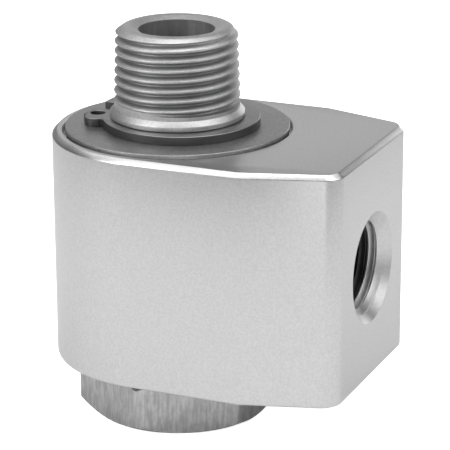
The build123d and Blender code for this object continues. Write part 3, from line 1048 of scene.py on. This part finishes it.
def spring_steel(colours):
    """The retaining ring's finish: stamped spring steel, oiled; its sheared upright sides are rougher and
    carry painted shade.
    """
    finish = Finish("stamped_spring_steel", Metallic=1.0)
    grain = finish.noise(0.2 * MM, 3.0)
    clouds = finish.noise(1.6 * MM, 3.0)
    colour = finish.tint(clouds, darker(colours.clip, 0.8), colours.clip)
    sheared_and_shaded_sides = finish.edgewise()
    # Painted shade: the upright sheared sides are darkened to a third of the ring's colour; their extra
    # roughness is the shear's own.
    shaded = finish.mix(sheared_and_shaded_sides, colour, darker(colours.clip, 0.3))
    roughness = 0.34 + grain * 0.12 + sheared_and_shaded_sides * 0.12
    return finish.set(Base_Color=shaded, Roughness=roughness, Normal=finish.bump(grain, 0.006 * MM))


def ring_steel(colours):
    """Washers, shields and lantern ring: fine turning rings on their faces."""
    finish = Finish("turned_ring_steel", Metallic=1.0)
    radius = finish.from_axis(finish.x, finish.y)
    rings = finish.math("SINE", radius * (FULL_TURN / (0.11 * MM))) * 0.5 + 0.5
    clouds = finish.noise(2.0 * MM, 3.0)
    colour = finish.tint(clouds, darker(colours.ring, 0.85), colours.ring)
    return finish.set(Base_Color=colour, Roughness=0.26 + clouds * 0.1, Normal=finish.bump(rings, 0.003 * MM))


def race_steel(colours):
    """Races and balls: ground and lapped, with a trace of grinding marks."""
    finish = Finish("ground_race_steel", Metallic=1.0)
    marks = finish.noise(0.08 * MM, 2.0, (0.2, 0.2, 1))
    colour = finish.tint(marks, darker(colours.race, 0.93), colours.race)
    return finish.set(Base_Color=colour, Roughness=0.12 + marks * 0.08, Normal=finish.bump(marks, 0.001 * MM))


def cage_plastic(colours):
    """The cages: moulded plastic with a fine skin and slight speckle."""
    finish = Finish("moulded_cage_plastic", Subsurface_Weight=0.05)
    skin = finish.noise(0.25 * MM, 4.0)
    colour = finish.tint(skin, darker(colours.cage, 0.88), colours.cage)
    return finish.set(Base_Color=colour, Roughness=0.42 + skin * 0.15, Normal=finish.bump(skin, 0.01 * MM))


def packing_plastic(colours):
    """Head and back rings: machined white plastic with faint tool marks."""
    finish = Finish("machined_packing_plastic", Subsurface_Weight=0.08)
    radius = finish.from_axis(finish.x, finish.y)
    rings = finish.math("SINE", radius * (FULL_TURN / (0.16 * MM))) * 0.5 + 0.5
    stain = finish.noise(1.4 * MM, 4.0)
    colour = finish.tint(stain, darker(colours.packing, 0.9), colours.packing)
    return finish.set(Base_Color=colour, Roughness=0.4 + stain * 0.12, Normal=finish.bump(rings, 0.004 * MM))


def packing_rubber(colours):
    """The sealing rings: matt black rubber with a fine grain."""
    finish = Finish("packing_rubber")
    grain = finish.noise(0.14 * MM, 4.0)
    colour = finish.tint(grain, colours.rubber, tuple(1.8 * channel for channel in colours.rubber))
    return finish.set(Base_Color=colour, Roughness=0.6 + grain * 0.2, Normal=finish.bump(grain, 0.012 * MM))


FINISHES = {
    "housing_steel": satin_steel,
    "shaft_steel": turned_steel,
    "cover_steel": rolled_steel,
    "circlip_steel": spring_steel,
    "ring_steel": ring_steel,
    "race_steel": race_steel,
    "cage_plastic": cage_plastic,
    "packing_plastic": packing_plastic,
    "packing_rubber": packing_rubber,
}
materials = {}


def material(slot):
    """The material of one of the record's slots, made when it is first asked for."""
    if slot not in materials:
        materials[slot] = FINISHES[slot](bpy.context.scene.swivel_colours)
    return materials[slot]


class BuildHousing(bpy.types.Operator):
    """Models the housing, with its stepped bore and its threaded side port"""

    bl_idname = "swivel.build_housing"
    bl_label = "Housing"

    def execute(self, context):
        piece = model_housing(context.scene)
        finish_piece(piece, "housing_machined", "housing", "housing_steel", "housing")
        return {"FINISHED"}


class BuildShaft(bpy.types.Operator):
    """Models the hollow shaft, with its hexagon, collar and tapered thread"""

    bl_idname = "swivel.build_shaft"
    bl_label = "Shaft"

    def execute(self, context):
        piece = model_shaft(context.scene)
        finish_piece(piece, "shaft_threaded", "shaft", "shaft_steel", "shaft")
        return {"FINISHED"}


class BuildCover(bpy.types.Operator):
    """Models the cover disc and the retaining ring on it"""

    bl_idname = "swivel.build_cover"
    bl_label = "Cover disc and retaining ring"

    def execute(self, context):
        disc = model_disc(context.scene)
        finish_piece(disc, "cover_disc_turned", "shaft", "cover_steel", "cover_disc")
        clip = model_clip(context.scene)
        finish_piece(clip, "circlip_stamped", "shaft", "circlip_steel", "shaft_circlip")
        return {"FINISHED"}


class BuildBalls(bpy.types.Operator):
    """Models the balls of both races"""

    bl_idname = "swivel.build_balls"
    bl_label = "Balls"

    def execute(self, context):
        for race in ("upper", "lower"):
            row = model_balls(context.scene, race)
            node = race + "_balls"
            finish_piece(row, node + "_ground", race + "_ball_set", "race_steel", node)
        return {"FINISHED"}


class FinishInnerPieces(bpy.types.Operator):
    """Gives the races, cages, washers and packings of the frame their finishes"""

    bl_idname = "swivel.finish_inner_pieces"
    bl_label = "Finishes of the inner pieces"

    def execute(self, context):
        for part in frame["record"]["subparts"]:
            node = frame["nodes"][part["node"]]
            if node.hide_render:
                continue
            node.data.materials.clear()
            node.data.materials.append(material(part["material_slot"]))
        return {"FINISHED"}


class SetStage(bpy.types.Operator):
    """Sets the floor, the soft lights and the camera"""

    bl_idname = "swivel.set_stage"
    bl_label = "Stage"

    def execute(self, context):
        settings = context.scene.swivel_stage
        set_floor(settings)
        set_room(context.scene, settings)
        set_lights(context.scene, settings)
        set_camera(context.scene, settings)
        return {"FINISHED"}


def set_floor(settings):
    """A pale floor that the hexagon stands on: near white to the camera, dim in the metal's reflections."""
    free_selection()
    bpy.ops.mesh.primitive_plane_add(size=settings.floor_size)
    floor = bpy.context.object
    floor.name = "floor"
    finish = Finish("pale_floor", Roughness=0.9, Emission_Strength=1.0)
    finish.shader.inputs["Base Color"].default_value = (*FLOOR_WHITE, 1)
    seen = finish.node("ShaderNodeLightPath")
    finish.set(Emission_Color=finish.tint(seen, even(settings.floor_glow), even(settings.seen_white)))
    floor.data.materials.append(finish.material)


def even(level):
    """A grey with the same level in each channel."""
    return (level, level, level)


def set_room(scene, settings):
    """A room that the camera sees white behind the floor, and the metal dim."""
    world = bpy.data.worlds.new("white_room")
    world.use_nodes = True
    tree = world.node_tree
    path = tree.nodes.new("ShaderNodeLightPath")
    mix = tree.nodes.new("ShaderNodeMix")
    mix.data_type = "RGBA"
    tree.links.new(path.outputs["Is Camera Ray"], mix.inputs[0])
    mix.inputs[6].default_value = (*even(settings.room_glow), 1)
    mix.inputs[7].default_value = (1, 1, 1, 1)
    tree.links.new(mix.outputs[2], tree.nodes["Background"].inputs["Color"])
    scene.world = world


def softbox(name, azimuth, elevation, power, settings):
    """A softbox that faces the object, its azimuth counted from the camera's."""
    centre = (CAD_BOX[0] + CAD_BOX[1]) / 2
    turn = settings.azimuth - math.pi / 2 + math.radians(azimuth)
    rise = math.radians(elevation)
    towards = Vector((*polar(math.cos(rise), turn), math.sin(rise)))
    free_selection()
    bpy.ops.object.light_add(type="AREA", location=centre + towards * settings.light_distance)
    light = bpy.context.object
    light.name = name
    light.rotation_euler = towards.to_track_quat("Z", "Y").to_euler()
    light.visible_camera = False
    light.data.size = settings.light_size
    light.data.energy = power
    return light


def set_lights(scene, settings):
    """The softboxes of the table."""
    for name, (azimuth, elevation, power) in SOFTBOXES.items():
        softbox(name, azimuth, elevation, power, settings)
    scene.view_settings.view_transform = "Standard"


def set_camera(scene, settings):
    """The camera, at the angle from which the object is seen."""
    turn, rise = settings.azimuth, settings.elevation
    right = Vector((math.cos(turn), math.sin(turn), 0))
    forward = Vector((-math.sin(turn) * math.cos(rise), math.cos(turn) * math.cos(rise), -math.sin(rise)))
    target = right * settings.look_right + Vector((0, 0, settings.look_up))
    up = right.cross(forward)
    tilted_right = right * math.cos(settings.roll) + up * math.sin(settings.roll)
    tilted_up = up * math.cos(settings.roll) - right * math.sin(settings.roll)
    pose = Matrix((tilted_right, tilted_up, -forward)).transposed().to_4x4()
    pose.translation = target - forward * settings.distance
    bpy.ops.object.camera_add()
    camera = bpy.context.object
    camera.name = "camera"
    camera.matrix_world = pose
    camera.data.lens = settings.lens
    camera.data.sensor_width = SENSOR_WIDTH
    camera.data.clip_start = NEAREST
    camera.data.clip_end = FARTHEST
    scene.camera = camera


class SwivelPanel(bpy.types.Panel):
    """Lists the swivel's pieces and sizes in the 3D view's sidebar"""

    bl_idname = "VIEW3D_PT_swivel"
    bl_label = "Right-angle swivel"
    bl_space_type = "VIEW_3D"
    bl_region_type = "UI"
    bl_category = "Swivel"

    def draw(self, context):
        for operator in OPERATORS:
            self.layout.operator(operator.bl_idname)
        for name, group in GROUPS.items():
            box = self.layout.box()
            for key in group.__annotations__:
                box.prop(getattr(context.scene, name), key)


GROUPS = {
    "swivel_housing": HousingSizes,
    "swivel_shaft": ShaftSizes,
    "swivel_thread": ThreadSizes,
    "swivel_cover": CoverSizes,
    "swivel_inner": InnerSizes,
    "swivel_colours": FinishColours,
    "swivel_stage": StageSettings,
}
OPERATORS = [BuildHousing, BuildShaft, BuildCover, BuildBalls, FinishInnerPieces, SetStage]


def register():
    """Registers the sizes, the operators and the panel."""
    for name, group in GROUPS.items():
        bpy.utils.register_class(group)
        setattr(bpy.types.Scene, name, PointerProperty(type=group))
    for cls in OPERATORS + [SwivelPanel]:
        bpy.utils.register_class(cls)


def unregister():
    """Takes everything that register adds away."""
    for cls in [SwivelPanel] + OPERATORS[::-1]:
        bpy.utils.unregister_class(cls)
    for name, group in GROUPS.items():
        delattr(bpy.types.Scene, name)
        bpy.utils.unregister_class(group)


def main():
    """Builds every piece and the stage."""
    register()
    bpy.ops.swivel.build_housing()
    bpy.ops.swivel.build_shaft()
    bpy.ops.swivel.build_cover()
    bpy.ops.swivel.build_balls()
    bpy.ops.swivel.finish_inner_pieces()
    bpy.ops.swivel.set_stage()


if __name__ == "__main__":
    main()
